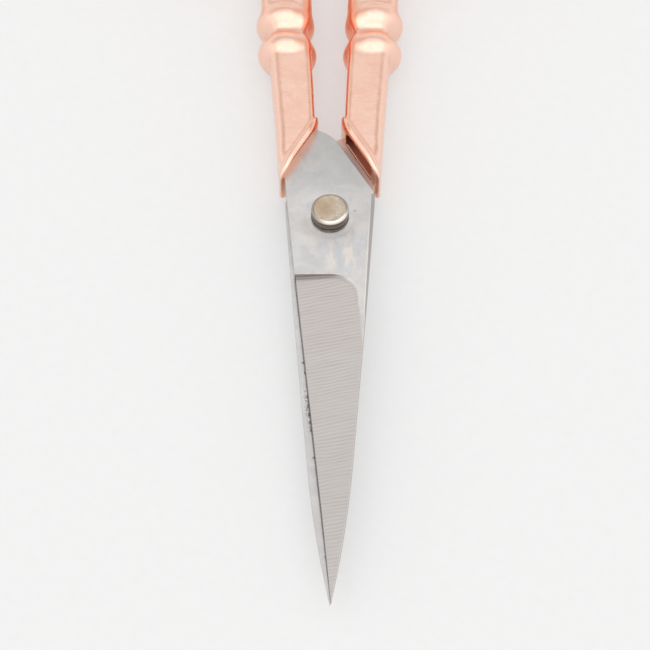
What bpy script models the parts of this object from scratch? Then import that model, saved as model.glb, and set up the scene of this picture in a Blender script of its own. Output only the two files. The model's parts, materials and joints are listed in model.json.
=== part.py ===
"""Small pointed hair cutting shears, lying closed, with the tips towards -Y.

Two equal halves face each other across the parting plane: each is a ground steel blade whose tang
is cast into a copper-plated bow handle. The second half is the first one turned over about the
Y axis. A rivet, with a washer under its head, joins them on the Z axis.
The origin is the middle of the rivet's tail face. Lengths are in metres.
"""

import math

import bmesh
import bpy
from mathutils import Vector

MM = 0.001

# Stack of plates, measured from the parting plane (the middle plane between the two blades)
PARTING_HEIGHT = 2.3 * MM  # the parting plane above the rivet's tail face
BLADE_THICKNESS = 1.5 * MM
BLADE_GAP = 0.1 * MM  # between the two blades' inner faces
BLADE_MIDDLE = (BLADE_GAP + BLADE_THICKNESS) / 2
BLADE_TOP = BLADE_GAP / 2 + BLADE_THICKNESS

# Blade outline, seen from above, for the half whose handle is at -X; its cutting edge faces -X
TIP = Vector((0.03 * MM, -46.2 * MM))
EDGE_START = Vector((-3.70 * MM, -9.0 * MM))  # where the sharpened edge begins
EDGE_WAIST = Vector((-4.7 * MM, 1.0 * MM))
EDGE_SHOULDER = Vector((-4.95 * MM, 5.1 * MM))  # where the plate enters the handle
APEX = Vector((-1.15 * MM, 11.75 * MM))  # top of the plate, beside the handle
CROWN = Vector((0.35 * MM, 11.0 * MM))  # the rounded corner at the top
CROWN_ROUND = 1.3 * MM
SPINE_SHOULDER = Vector((4.95 * MM, 3.2 * MM))
SHOULDER_ROUND = 0.6 * MM
SPINE_START = Vector((4.0 * MM, -9.8 * MM))
SPINE_TAPER = 0.081  # how fast the straight part of the spine closes in
SPINE_STRAIGHT = 20.0 * MM  # its length, before it curves to the tip

# Ground face: a shallow bevel from the spine down to the cutting edge
GRIND_STEP_Y = -7.4 * MM  # the wheel's end wall
GRIND_CORNER = 1.0 * MM  # the wheel's rounded corner
GRIND_SPINE_X = 3.15 * MM  # where the bevel starts, beside the spine
GRIND_ANGLE = math.radians(5.5)
GRIND_FALL_RADIUS = 900.0 * MM  # how the bevel deepens towards the tip
EDGE_ANGLE = math.radians(74)  # the sharpened edge, from the inner face
CHAMFER_TOP = (4.55 * MM, 3.82 * MM)  # inner side of the spine's chamfer, at its two ends
CHAMFER_TILT = math.radians(42)

# Tang, inside the handle
TANG_X = -4.05 * MM
TANG_HALF_WIDTH = 1.15 * MM
TANG_END_Y = 20.0 * MM
TANG_ROOT_Y = 13.6 * MM
KEY_Y = 17.6 * MM  # the hole that the casting fills
KEY_HOLE_RADIUS = 0.62 * MM
TANG_CLEARANCE = 0.1 * MM

# Handle bar, from its mitred front end to the bow
MITRE_SLOPE = 1.755  # how far the mitre falls back along Y for each step in X
MITRE_Y = 7.51 * MM  # where the mitre crosses the bar's middle line
BAR_FRONT_X = 3.6 * MM
BAR_REAR_X = 5.0 * MM
BAR_SWING = (4.0 * MM, 33.0 * MM)  # the stretch over which the middle line swings out
BAR_BEND_Y = 37.0 * MM  # where it starts to bend back in, to run into the bow
BAR_BEND_RADIUS = 42.0 * MM
BAR_HALF_WIDTH_FRONT = 2.15 * MM
BAR_HALF_WIDTH = 2.45 * MM
BAR_HALF_HEIGHT = 2.75 * MM
BAR_CORNER = 1.05 * MM
BAR_END_Y = 49.5 * MM
REAR_HALF_WIDTH = 2.9 * MM  # just behind the double bead
REAR_CORNER = 1.5 * MM
REAR_TAPER = (30.0 * MM, 46.0 * MM)
NECK_HALF_WIDTH = 2.1 * MM  # where the bar ends, inside the bow
NECK_HALF_HEIGHT = 2.45 * MM
CROTCH_Y = 39.4 * MM  # where the bar's outer side meets the bow
CROTCH_FILLET = 3.0 * MM
NARROW_OUTER_TIP = 0.6 * MM  # how much the outer side draws in at the mitre's tip
LIP_RAISE = 0.42 * MM
LIP_RUN = 1.6 * MM  # the lip's width, measured along the bar
LIP_CREST = 0.45 * MM
SHEAR_RUN = 8.2 * MM  # the stretch over which the mitre's slant fades out

# Double bead: two turned rings side by side
NODE_Y = 25.5 * MM
BEAD_RADIUS = 3.33 * MM
BEAD_GROOVE_RADIUS = 2.5 * MM
BEAD_HALF_LENGTH = 1.75 * MM
BEAD_SPACING = 4.2 * MM
BEAD_OUTSET = 0.2 * MM  # the shank's beads sit a little outside its middle line
BOW_SWELL = 0.25 * MM  # the bow's bar grows thicker beside a double bead
BOW_SWELL_RUN = 4.5 * MM

# Bow: the closed finger ring
BOW_CENTRE = Vector((-13.1 * MM, 54.5 * MM))
BOW_HALF_WIDTH = 10.6 * MM  # to the bar's middle line
BOW_HALF_LENGTH = 15.2 * MM
BOW_BAR_HALF_WIDTH = 2.35 * MM
BOW_BAR_HALF_HEIGHT = 2.6 * MM
BOW_BAR_CORNER = 1.35 * MM
BOW_NODES = (math.radians(75), math.radians(165), math.radians(255))

# Rivet and washer
RIVET_RADIUS = 1.2 * MM
RIVET_CLEARANCE = 0.05 * MM
RIVET_HEAD_RADIUS = 1.98 * MM
RIVET_HEAD_HEIGHT = 1.25 * MM
RIVET_HEAD_ROUND = 0.3 * MM
RIVET_TAIL_RADIUS = 1.75 * MM
RIVET_TAIL_FLAT_RADIUS = 1.2 * MM
WASHER_RADIUS = 2.0 * MM
WASHER_THICKNESS = 0.45 * MM
SEAT_GAP = 0.05 * MM  # between plates that rest on each other

# How finely round shapes are cut up
SECTION_SIDES = 20
BOW_STATIONS = 76
TURNED_SIDES = 32
HOLE_SIDES = 32

STEEL = ("blade_steel", (0.62, 0.62, 0.61), 0.32)
COPPER = ("rose_copper_plate", (0.93, 0.60, 0.47), 0.22)
NICKEL = ("rivet_nickel", (0.66, 0.60, 0.50), 0.30)


def clear_scene():
    for old in list(bpy.data.objects):
        bpy.data.objects.remove(old)


def new_collection(name):
    made = bpy.data.collections.new(name)
    bpy.context.scene.collection.children.link(made)
    return made


def new_object(name, data, collection):
    made = bpy.data.objects.new(name, data)
    collection.objects.link(made)
    return made


def metal(name, colour, roughness):
    material = bpy.data.materials.new(name)
    material.use_nodes = True
    shader = material.node_tree.nodes["Principled BSDF"]
    shader.inputs["Base Color"].default_value = (*colour, 1.0)
    shader.inputs["Roughness"].default_value = roughness
    shader.inputs["Metallic"].default_value = 1.0
    return material


def smoothstep(t):
    t = min(max(t, 0.0), 1.0)
    return t * t * (3 - 2 * t)


def arc(centre, radius, start, end, steps):
    """Points on a circle from one angle to another, both ends included."""
    return [
        Vector((centre[0] + radius * math.cos(a), centre[1] + radius * math.sin(a)))
        for a in (start + (end - start) * i / steps for i in range(steps + 1))
    ]


def rounded(before, corner, after, radius, steps=4):
    """The corner as a quadratic curve that starts and ends a radius away from it."""
    start = corner + (before - corner).normalized() * radius
    end = corner + (after - corner).normalized() * radius
    points = []
    for i in range(steps + 1):
        t = i / steps
        points.append(start * (1 - t) ** 2 + corner * 2 * t * (1 - t) + end * t**2)
    return points


def circle(centre, radius, sides=HOLE_SIDES):
    return arc(centre, radius, 0.0, 2 * math.pi * (1 - 1 / sides), sides - 1)


def flat_plate(name, outlines, thickness, collection):
    """A plate in the XY plane, centred on it. The first outline is its edge, the others are holes."""
    curve = bpy.data.curves.new(name, "CURVE")
    curve.dimensions = "2D"
    curve.fill_mode = "BOTH"
    curve.extrude = thickness / 2
    for outline in outlines:
        spline = curve.splines.new("POLY")
        spline.points.add(len(outline) - 1)
        for point, place in zip(spline.points, outline):
            point.co = (place[0], place[1], 0.0, 1.0)
        spline.use_cyclic_u = True
    source = new_object(name, curve, collection)
    graph = bpy.context.evaluated_depsgraph_get()
    mesh = bpy.data.meshes.new_from_object(source.evaluated_get(graph))
    bpy.data.objects.remove(source)
    weld(mesh)
    return new_object(name, mesh, collection)


def weld(mesh):
    shape = bmesh.new()
    shape.from_mesh(mesh)
    bmesh.ops.remove_doubles(shape, verts=shape.verts, dist=0.001 * MM)
    bmesh.ops.recalc_face_normals(shape, faces=shape.faces)
    shape.to_mesh(mesh)
    shape.free()


def turned(name, profile, collection):
    """A solid of revolution about Z, from a profile of (radius, height) that runs top to bottom."""
    mesh = bpy.data.meshes.new(name)
    points = [(radius, 0.0, height) for radius, height in profile]
    closed = profile[0][0] > 0
    edges = [(i, i + 1) for i in range(len(points) - 1)]
    if closed:
        edges.append((len(points) - 1, 0))
    mesh.from_pydata(points, edges, [])
    made = new_object(name, mesh, collection)
    screw = made.modifiers.new("turn", "SCREW")
    screw.steps = screw.render_steps = TURNED_SIDES
    screw.use_merge_vertices = True
    screw.merge_threshold = 0.001 * MM
    return made


def box(name, size, collection):
    mesh = bpy.data.meshes.new(name)
    shape = bmesh.new()
    bmesh.ops.create_cube(shape, size=1.0)
    bmesh.ops.scale(shape, vec=size, verts=shape.verts)
    shape.to_mesh(mesh)
    shape.free()
    return new_object(name, mesh, collection)


def combine(target, tool, operation):
    """A Boolean with the EXACT solver. The tool stays in the scene as a helper."""
    modifier = target.modifiers.new(tool.name, "BOOLEAN")
    modifier.operation = operation
    modifier.solver = "EXACT"
    modifier.object = tool
    tool.hide_render = True
    tool.display_type = "WIRE"


def finished_mesh(source, name):
    """The object's mesh with its modifiers worked in, for the two halves to share."""
    bpy.context.view_layer.update()
    graph = bpy.context.evaluated_depsgraph_get()
    mesh = bpy.data.meshes.new_from_object(source.evaluated_get(graph))
    mesh.name = name
    weld(mesh)
    mesh.shade_smooth()
    mesh.set_sharp_from_angle(angle=math.radians(30))
    return mesh


# Blade


def spine_outline(steps=10):
    """From the shoulder down to the tip: a straight side, then a curve that ends at the tip."""
    points = rounded(CROWN, SPINE_SHOULDER, SPINE_START, SHOULDER_ROUND)
    points.append(SPINE_START)
    first = SPINE_START + SPINE_STRAIGHT * Vector((-SPINE_TAPER, -1.0))
    rest = first.y - TIP.y
    drop = first.x - SPINE_TAPER * rest - TIP.x
    for i in range(steps):
        t = i / steps
        points.append(Vector((first.x - SPINE_TAPER * rest * t - drop * t**2, first.y - rest * t)))
    return points


def tang_outline(grow):
    """The tang from its inner root round its end to the shoulder, grown outwards."""
    half = TANG_HALF_WIDTH + grow
    end_centre = (TANG_X, TANG_END_Y - TANG_HALF_WIDTH)
    points = [
        APEX + Vector((-0.63 * MM + grow, 0.13 * MM + grow)),
        Vector((TANG_X + half, TANG_ROOT_Y)),
    ]
    points += arc(end_centre, half, 0.0, math.pi, 10)
    points.append(Vector((TANG_X - half, TANG_ROOT_Y - 4 * MM)))
    return points


def blade_outline():
    outline = [TIP]
    outline += [EDGE_START, EDGE_WAIST, EDGE_SHOULDER]
    outline += list(reversed(tang_outline(0.0)))
    outline += [APEX]
    outline += rounded(APEX, CROWN, SPINE_SHOULDER, CROWN_ROUND)
    outline += spine_outline()
    return outline


def grind_cutter(collection):
    """The grinding wheel's path: a wall with a rounded corner, then a face that falls to the tip."""
    surface = BLADE_TOP
    corner = (GRIND_STEP_Y - GRIND_CORNER, surface + GRIND_CORNER)
    profile = [Vector((GRIND_STEP_Y, surface + 2 * GRIND_CORNER))]
    profile += arc(corner, GRIND_CORNER, 0.0, -math.pi / 2, 8)
    far_end = TIP.y - 4 * MM
    for i in range(1, 13):
        y = corner[0] + (far_end - corner[0]) * i / 12
        profile.append(Vector((y, surface - (corner[0] - y) ** 2 / (2 * GRIND_FALL_RADIUS))))
    profile.append(Vector((far_end, surface + 2 * GRIND_CORNER)))
    cutter = flat_plate("grind_cutter", [profile], 24 * MM, collection)
    # The profile's X and Y become Y and Z, and the extrusion lies across the blade.
    across = cutter.data
    for vertex in across.vertices:
        along, up, side = vertex.co
        vertex.co = (side, along, up - BLADE_TOP)
    weld(across)
    cutter.rotation_euler = (0.0, -GRIND_ANGLE, 0.0)
    cutter.location = (GRIND_SPINE_X, 0.0, BLADE_TOP)
    return cutter


def edge_cutter(collection):
    """A long box whose inner side is the sharpened edge's steep face."""
    line = TIP - EDGE_START
    middle = (TIP + EDGE_START) / 2
    size = 6 * MM
    cutter = box("edge_cutter", (size, line.length + 3 * MM, size), collection)
    for vertex in cutter.data.vertices:
        vertex.co.x -= size / 2
    cutter.rotation_mode = "ZYX"
    cutter.rotation_euler = (0.0, math.pi / 2 - EDGE_ANGLE, math.atan2(line.y, line.x) + math.pi / 2)
    cutter.location = (middle.x, middle.y, BLADE_GAP / 2)
    return cutter


def chamfer_cutter(collection):
    """A tilted box along the spine, which breaks the outer edge of the plate."""
    shoulder = Vector((CHAMFER_TOP[0], SPINE_SHOULDER.y))
    start = Vector((CHAMFER_TOP[1], SPINE_START.y))
    line = start - shoulder
    middle = (start + shoulder) / 2
    size = 4 * MM
    cutter = box("chamfer_cutter", (size, line.length + 3 * MM, size), collection)
    for vertex in cutter.data.vertices:
        vertex.co.z += size / 2
    cutter.rotation_mode = "ZYX"
    cutter.rotation_euler = (0.0, CHAMFER_TILT, math.atan2(line.y, line.x) + math.pi / 2)
    cutter.location = (middle.x, middle.y, BLADE_TOP)
    return cutter


def blade_mesh(helpers):
    pivot_hole = circle((0.0, 0.0), RIVET_RADIUS + RIVET_CLEARANCE)
    key_hole = circle((TANG_X, KEY_Y), KEY_HOLE_RADIUS, 16)
    outlines = [blade_outline(), pivot_hole, key_hole]
    plate = flat_plate("blade_blank", outlines, BLADE_THICKNESS, helpers)
    plate.location.z = BLADE_MIDDLE
    plate.hide_render = True
    for cutter in (grind_cutter(helpers), edge_cutter(helpers), chamfer_cutter(helpers)):
        combine(plate, cutter, "DIFFERENCE")
    mesh = finished_mesh(plate, "blade")
    for vertex in mesh.vertices:
        vertex.co.z += BLADE_MIDDLE
    return mesh


# Handle


def bead_radius(along):
    """Radius of a double bead at a distance from its middle, or 0 beyond its ends."""
    radius = BEAD_GROOVE_RADIUS if abs(along) < BEAD_SPACING / 2 else 0.0
    for side in (-1, 1):
        share = (along - side * BEAD_SPACING / 2) / BEAD_HALF_LENGTH
        if abs(share) < 1:
            rise = (BEAD_RADIUS - BEAD_GROOVE_RADIUS) * math.sqrt(1 - share**2)
            radius = max(radius, BEAD_GROOVE_RADIUS + rise)
    return radius


def bead_stations(middle):
    """Places along the bar that follow a double bead's outline."""
    places = []
    for side in (-1, 1):
        for share in (-0.999, -0.9, -0.6, 0.0, 0.6, 0.9, 0.999):
            places.append(middle + side * BEAD_SPACING / 2 + share * BEAD_HALF_LENGTH)
    half = BEAD_SPACING / 2 + BEAD_HALF_LENGTH + 0.03 * MM
    return sorted(places + [middle - half, middle + half])


def swell(along):
    """Extra thickness of the bow beside a double bead."""
    beyond = max(0.0, abs(along) - BEAD_SPACING / 2 - BEAD_HALF_LENGTH)
    return BOW_SWELL * (1 - smoothstep(beyond / BOW_SWELL_RUN))


def section_radius(angle, inner, outer, height, corner):
    """Distance from the bar's middle to its surface: a rounded rectangle, with unlike sides."""
    across, up = abs(math.cos(angle)), abs(math.sin(angle))
    width = outer if math.cos(angle) > 0 else inner
    if across > 1e-9 and width / across * up <= height - corner:
        return width / across
    if up > 1e-9 and height / up * across <= width - corner:
        return height / up
    x, y = width - corner, height - corner
    along = across * x + up * y
    return along + math.sqrt(max(0.0, along**2 - (x * x + y * y - corner**2)))


def section(inner, outer, height, corner, round_radius, outset=0.0):
    """Points (outwards, up) of one cross-section, the larger of the bar and the bead."""
    points = []
    for i in range(SECTION_SIDES):
        angle = 2 * math.pi * (i + 0.5) / SECTION_SIDES
        bead = 0.0
        if round_radius > 0:
            across, up = outset * math.cos(angle), outset * math.sin(angle)
            bead = across + math.sqrt(round_radius**2 - up**2)
        radius = max(section_radius(angle, inner, outer, height, corner), bead)
        points.append((radius * math.cos(angle), radius * math.sin(angle)))
    return points


def loft(name, rings, closed, collection):
    """Quads between rings of points; an open loft has its two ends capped."""
    shape = bmesh.new()
    rows = [[shape.verts.new(point) for point in ring] for ring in rings]
    count = len(rows[0])
    pairs = list(zip(rows, rows[1:]))
    if closed:
        pairs.append((rows[-1], rows[0]))
    for first, second in pairs:
        for i in range(count):
            j = (i + 1) % count
            shape.faces.new((first[i], first[j], second[j], second[i]))
    if not closed:
        shape.faces.new(list(reversed(rows[0])))
        shape.faces.new(rows[-1])
    bmesh.ops.recalc_face_normals(shape, faces=shape.faces)
    mesh = bpy.data.meshes.new(name)
    shape.to_mesh(mesh)
    shape.free()
    return new_object(name, mesh, collection)


def between(y, limits):
    """How far y is between two limits, eased at both ends."""
    return smoothstep((y - limits[0]) / (limits[1] - limits[0]))


def bar_middle_x(y):
    swung = (BAR_REAR_X - BAR_FRONT_X) * between(y, BAR_SWING)
    bent = max(0.0, y - BAR_BEND_Y) ** 2 / (2 * BAR_BEND_RADIUS)
    return BAR_FRONT_X + swung - bent


def lip_raise(run):
    """Height of the rounded lip above the bar, at a distance along the bar from the mitre."""
    if run > LIP_RUN:
        return 0.0
    reach = LIP_CREST if run < LIP_CREST else LIP_RUN - LIP_CREST
    share = (run - LIP_CREST) / reach
    least = 0.35 if run < LIP_CREST else 0.0
    return LIP_RAISE * (least + (1 - least) * math.sqrt(max(0.0, 1 - share**2)))


def front_section(y):
    """A cross-section ahead of the double bead."""
    run = y - MITRE_Y
    grown = between(y, (6 * MM, 22 * MM))
    half = BAR_HALF_WIDTH_FRONT + (BAR_HALF_WIDTH - BAR_HALF_WIDTH_FRONT) * grown
    lip = lip_raise(run)
    drawn_in = NARROW_OUTER_TIP * (1 - smoothstep(run / (5 * MM)))
    return section(
        inner=half + 0.7 * lip,
        outer=half + 0.3 * lip - drawn_in,
        height=BAR_HALF_HEIGHT + lip,
        corner=BAR_CORNER + 0.4 * lip,
        round_radius=bead_radius(y - NODE_Y),
        outset=BEAD_OUTSET,
    )


def rear_section(y):
    """A cross-section behind the double bead, which thins as it runs into the bow."""
    thinned = between(y, REAR_TAPER)
    half = REAR_HALF_WIDTH + (NECK_HALF_WIDTH - REAR_HALF_WIDTH) * thinned
    into_fillet = min(max(0.0, y - CROTCH_Y + CROTCH_FILLET), CROTCH_FILLET)
    fillet = CROTCH_FILLET - math.sqrt(CROTCH_FILLET**2 - into_fillet**2)
    if y > CROTCH_Y:
        fillet *= 1 - smoothstep((y - CROTCH_Y) / (2 * MM))
    return section(
        inner=half,
        outer=half + fillet,
        height=BAR_HALF_HEIGHT + (NECK_HALF_HEIGHT - BAR_HALF_HEIGHT) * thinned,
        corner=REAR_CORNER,
        round_radius=bead_radius(y - NODE_Y),
        outset=BEAD_OUTSET,
    )


def bar_ring(y):
    """One cross-section of the bar, in place. Near the front it slants with the mitre."""
    points = rear_section(y) if y > NODE_Y + BEAD_SPACING / 2 else front_section(y)
    shear = MITRE_SLOPE * (1 - smoothstep((y - MITRE_Y - LIP_RUN) / SHEAR_RUN))
    middle = bar_middle_x(y)
    return [(-middle - out, y - out * shear, up) for out, up in points]


def bar(collection):
    lip = [MITRE_Y + LIP_RUN * share for share in (0, 0.08, 0.2, 0.4, 0.6, 0.8, 0.93, 1.0)]
    fading = [lip[-1] + SHEAR_RUN * share / 6 for share in range(1, 7)]
    node = bead_stations(NODE_Y)
    plain = [node[0] - 2 * MM]
    rear = [node[-1] + (CROTCH_Y - CROTCH_FILLET - node[-1]) * share / 3 for share in range(1, 4)]
    crotch = [CROTCH_Y - CROTCH_FILLET * share for share in (0.6, 0.35, 0.15, 0.0)]
    neck = [CROTCH_Y + (BAR_END_Y - CROTCH_Y) * share / 5 for share in range(1, 6)]
    rings = [bar_ring(y) for y in lip + fading + plain + node + rear + crotch + neck]
    return loft("bar", rings, False, collection)


def bow_angles():
    """Stations round the bow: even ones, and those of the double beads in place of their neighbours."""
    pace = (BOW_HALF_WIDTH + BOW_HALF_LENGTH) / 2
    angles = [2 * math.pi * i / BOW_STATIONS for i in range(BOW_STATIONS)]
    clear = (BEAD_SPACING / 2 + BEAD_HALF_LENGTH + 0.5 * MM) / pace
    angles = [a for a in angles if all(abs(a - node) > clear for node in BOW_NODES)]
    for node in BOW_NODES:
        angles += [node + place / bow_pace(node) for place in bead_stations(0.0)]
    return sorted(angles)


def bow_pace(angle):
    """Length of bow per radian of its angle."""
    return math.hypot(BOW_HALF_WIDTH * math.sin(angle), BOW_HALF_LENGTH * math.cos(angle))


def bow_ring(angle):
    """One cross-section of the bow, square to its middle line."""
    middle = BOW_CENTRE + Vector((BOW_HALF_WIDTH * math.cos(angle), BOW_HALF_LENGTH * math.sin(angle)))
    outwards = Vector((BOW_HALF_LENGTH * math.cos(angle), BOW_HALF_WIDTH * math.sin(angle))).normalized()
    beads, extra = 0.0, 0.0
    for node in BOW_NODES:
        along = (angle - node) * bow_pace(node)
        beads = max(beads, bead_radius(along))
        extra = max(extra, swell(along))
    half = BOW_BAR_HALF_WIDTH + extra
    points = section(half, half, BOW_BAR_HALF_HEIGHT + 0.3 * extra, BOW_BAR_CORNER, beads)
    return [(middle.x + outwards.x * out, middle.y + outwards.y * out, up) for out, up in points]


def bow(collection):
    return loft("bow", [bow_ring(angle) for angle in bow_angles()], True, collection)


def tang_pocket(collection):
    """The room for the tang, open at the mitre, with the casting's key post left standing in it."""
    grow = TANG_CLEARANCE
    slant = Vector((MITRE_SLOPE, -1.0)).normalized() * grow  # square to the mitre, out of the bar
    step_out = Vector((1.0, -1.0 / MITRE_SLOPE)).normalized() * 2 * MM
    outline = [EDGE_SHOULDER + Vector((-grow, 0.0))]
    outline += list(reversed(tang_outline(grow)))
    outline += [APEX + Vector((grow, grow)), APEX + slant + step_out]
    outline += [EDGE_SHOULDER + Vector((-grow, 0.0)) + step_out]
    post = circle((TANG_X, KEY_Y), KEY_HOLE_RADIUS - TANG_CLEARANCE, 16)
    cutter = flat_plate("tang_pocket", [outline, post], BLADE_THICKNESS + 2 * grow, collection)
    cutter.location.z = BLADE_MIDDLE
    return cutter


def handle_mesh(helpers):
    body = bar(helpers)
    body.hide_render = True
    combine(body, bow(helpers), "UNION")
    combine(body, tang_pocket(helpers), "DIFFERENCE")
    return finished_mesh(body, "handle")


# Rivet and washer, about the pivot


def rivet(collection):
    head_bottom = BLADE_TOP + 2 * SEAT_GAP + WASHER_THICKNESS
    head_top = head_bottom + RIVET_HEAD_HEIGHT
    tail_top = -BLADE_TOP - SEAT_GAP
    rim = arc(
        (RIVET_HEAD_RADIUS - RIVET_HEAD_ROUND, head_top - RIVET_HEAD_ROUND),
        RIVET_HEAD_ROUND,
        math.pi / 2,
        0.0,
        4,
    )
    profile = [(0.0, head_top)]
    profile += [(point.x, point.y) for point in rim]
    profile += [(RIVET_HEAD_RADIUS, head_bottom), (RIVET_RADIUS, head_bottom)]
    profile += [(RIVET_RADIUS, tail_top), (RIVET_TAIL_RADIUS, tail_top)]
    profile += [(RIVET_TAIL_RADIUS, tail_top - 0.2 * MM)]
    profile += [(RIVET_TAIL_FLAT_RADIUS, -PARTING_HEIGHT), (0.0, -PARTING_HEIGHT)]
    return turned("pivot_rivet", profile, collection)


def washer(collection):
    bottom = BLADE_TOP + SEAT_GAP
    inner = RIVET_RADIUS + RIVET_CLEARANCE
    profile = [
        (WASHER_RADIUS, bottom + WASHER_THICKNESS),
        (WASHER_RADIUS, bottom),
        (inner, bottom),
        (inner, bottom + WASHER_THICKNESS),
    ]
    return turned("pivot_washer", profile, collection)


def half_empty(name, turned_over, collection):
    """The parent of one half. The lower half is the upper one turned over about the Y axis."""
    empty = new_object(name, None, collection)
    empty.location = (0.0, 0.0, PARTING_HEIGHT)
    empty.rotation_euler = (0.0, math.pi if turned_over else 0.0, 0.0)
    return empty


def main():
    clear_scene()
    parts = new_collection("hair_cutting_shears")
    helpers = new_collection("cutters")
    steel, copper, nickel = (metal(*finish) for finish in (STEEL, COPPER, NICKEL))
    blade, handle = blade_mesh(helpers), handle_mesh(helpers)
    blade.materials.append(steel)
    handle.materials.append(copper)
    for name, turned_over in (("upper", False), ("lower", True)):
        parent = half_empty(name + "_half", turned_over, parts)
        new_object(name + "_blade", blade, parts).parent = parent
        new_object(name + "_handle", handle, parts).parent = parent
    for made in (rivet(parts), washer(parts)):
        made.location.z = PARTING_HEIGHT
        made.data.materials.append(nickel)


main()
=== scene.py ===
import json
import math

import bmesh
import bpy
import numpy as np
from mathutils import Matrix, Vector


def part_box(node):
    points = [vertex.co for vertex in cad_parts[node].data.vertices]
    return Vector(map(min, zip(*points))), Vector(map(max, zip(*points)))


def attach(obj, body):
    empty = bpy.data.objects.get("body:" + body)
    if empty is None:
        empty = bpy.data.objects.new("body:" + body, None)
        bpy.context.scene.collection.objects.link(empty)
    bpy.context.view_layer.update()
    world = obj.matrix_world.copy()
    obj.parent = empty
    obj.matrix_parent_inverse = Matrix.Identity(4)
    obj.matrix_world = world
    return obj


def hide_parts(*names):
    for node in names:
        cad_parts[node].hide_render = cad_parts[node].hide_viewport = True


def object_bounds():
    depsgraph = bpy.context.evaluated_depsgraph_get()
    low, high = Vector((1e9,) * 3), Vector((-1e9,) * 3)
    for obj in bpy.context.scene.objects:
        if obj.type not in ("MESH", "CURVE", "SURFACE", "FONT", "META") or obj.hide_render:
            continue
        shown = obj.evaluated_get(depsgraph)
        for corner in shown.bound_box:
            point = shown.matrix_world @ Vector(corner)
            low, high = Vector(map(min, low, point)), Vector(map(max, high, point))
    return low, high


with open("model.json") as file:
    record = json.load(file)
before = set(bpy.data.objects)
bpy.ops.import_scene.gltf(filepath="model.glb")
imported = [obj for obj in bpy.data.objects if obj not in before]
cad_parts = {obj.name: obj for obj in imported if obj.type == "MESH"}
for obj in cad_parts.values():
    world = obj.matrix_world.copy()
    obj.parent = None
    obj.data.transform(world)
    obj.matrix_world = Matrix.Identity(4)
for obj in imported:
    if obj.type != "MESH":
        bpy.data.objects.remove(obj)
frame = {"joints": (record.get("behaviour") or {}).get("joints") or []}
CAD_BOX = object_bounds()

MM = 0.001

# One half of the shears is modelled in millimetres about the pivot, with the parting plane at z = 0.
# The other half is the same shape turned over about the Y axis.

# Blade outline
TIP = (0.03, -46.2)
TIP_Y = -46.0
EDGE_START = (-3.66, -9.0)
EDGE_WAIST = (-4.56, 1.0)
EDGE_SHOULDER = (-4.95, 5.1)
APEX = (-1.15, 11.75)
CROWN = (0.35, 11.0)
CROWN_ROUND = 1.3
SPINE_SHOULDER = (4.95, 3.2)
SHOULDER_ROUND = 0.6
SPINE_START = (4.0, -9.8)
SPINE_TAPER = 0.081
SPINE_STRAIGHT = 20.0
TANG_X = -4.05
TANG_HALF_WIDTH = 1.15
TANG_END_Y = 20.0
TANG_ROOT_Y = 13.6
BLADE_BOTTOM = 0.05
BLADE_TOP = 1.55

# Ground face, sharpened edge and chamfer
BLADE_LEAST = 0.012  # the steel left at the very edge
GRIND_STEP_Y = -7.42
GRIND_FILLET = 0.16
GRIND_SPINE_X = 3.15
GRIND_SLOPE = math.tan(math.radians(5.5))
GRIND_FALL_RADIUS = 900.0
GRIND_FALL_Y = -8.4
GRIND_CORNER_X = 3.06  # the wheel's corner, where the bevel's end runs into its side
GRIND_CORNER = 2.9
EDGE_SLOPE = math.tan(math.radians(83.5))
CHAMFER_SLOPE = math.tan(math.radians(42))
CHAMFER_TOP = ((3.82, -9.8), (4.55, 3.2))
CHAMFER_FADES = ((-19.0, -12.0), (3.1, 4.6))  # the stretches of y where the chamfer begins and ends
CHAMFER_FADE = 1.2
GRIND_MARK_PITCH = 0.41
GRIND_MARK_TILT = -0.17
NICKS_Y = -23.4  # the middle of the nicks by the edge line
PIVOT_HOLE = 1.25
EDGE_BEVEL_WIDTH = 0.09
# The ground depth at which the step's painted shade reaches full strength
STEP_TINT_DEPTH = 0.3
# Burrs that stand out of the sharpened edge: place along Y, how far they stand out, half-width
BURRS = (
    (-17.6, 0.26, 0.06),
    (-18.9, 0.10, 0.10),
    (-21.8, 0.12, 0.12),
    (-22.9, 0.14, 0.10),
    (-24.0, 0.17, 0.12),
    (-24.9, 0.18, 0.10),
    (-25.9, 0.16, 0.12),
    (-29.15, 0.26, 0.05),
    (-40.7, 0.10, 0.06),
)

# Handle bar
MITRE_POINT = (-3.656, 7.51)
MITRE_NORMAL = (0.8688, -0.4951)
BAR_FRONT_X = 3.6
BAR_REAR_X = 5.0
BAR_SWING = (4.0, 33.0)
BAR_BEND_Y = 37.0
BAR_BEND_RADIUS = 42.0
BAR_HALF_WIDTHS = (2.13, 2.33)  # at the front and at the rear of BAR_WIDENS
BAR_WIDENS = (6.0, 22.0)
BAR_INSET = 0.1
BAR_HALF_HEIGHT = 2.75
BAR_CORNERS = (0.80, 1.25)  # on the side of the other handle, on the outer side
REAR_HALF_WIDTH = 2.9
REAR_CORNER = 1.5
REAR_BEGINS = (26.0, 29.0)
REAR_TAPER = (30.0, 46.0)
NECK_HALF_WIDTH = 2.1
NECK_HALF_HEIGHT = 2.45
BAR_END_Y = 49.5
NARROW_OUTER_TIP = 0.6
NARROW_RUN = 5.0
LIP_RADIUS = 0.54
LIP_SINK = 0.16
LIP_BEHIND = 0.52
CHEEK_ROUND = (4.5, 5.2)  # the stretch of x over which the end's outer corner grows round
MATING_RECESS_BORDER = 0.25  # the end is hollow on the side where the other blade lies
MATING_RECESS_WIDER = 0.7  # more border at the outer corner
MATING_RECESS_WIDENS = (4.2, 5.0)
MATING_RECESS_DEPTH = 1.1
MATING_RECESS_FLOOR = -0.22

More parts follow.
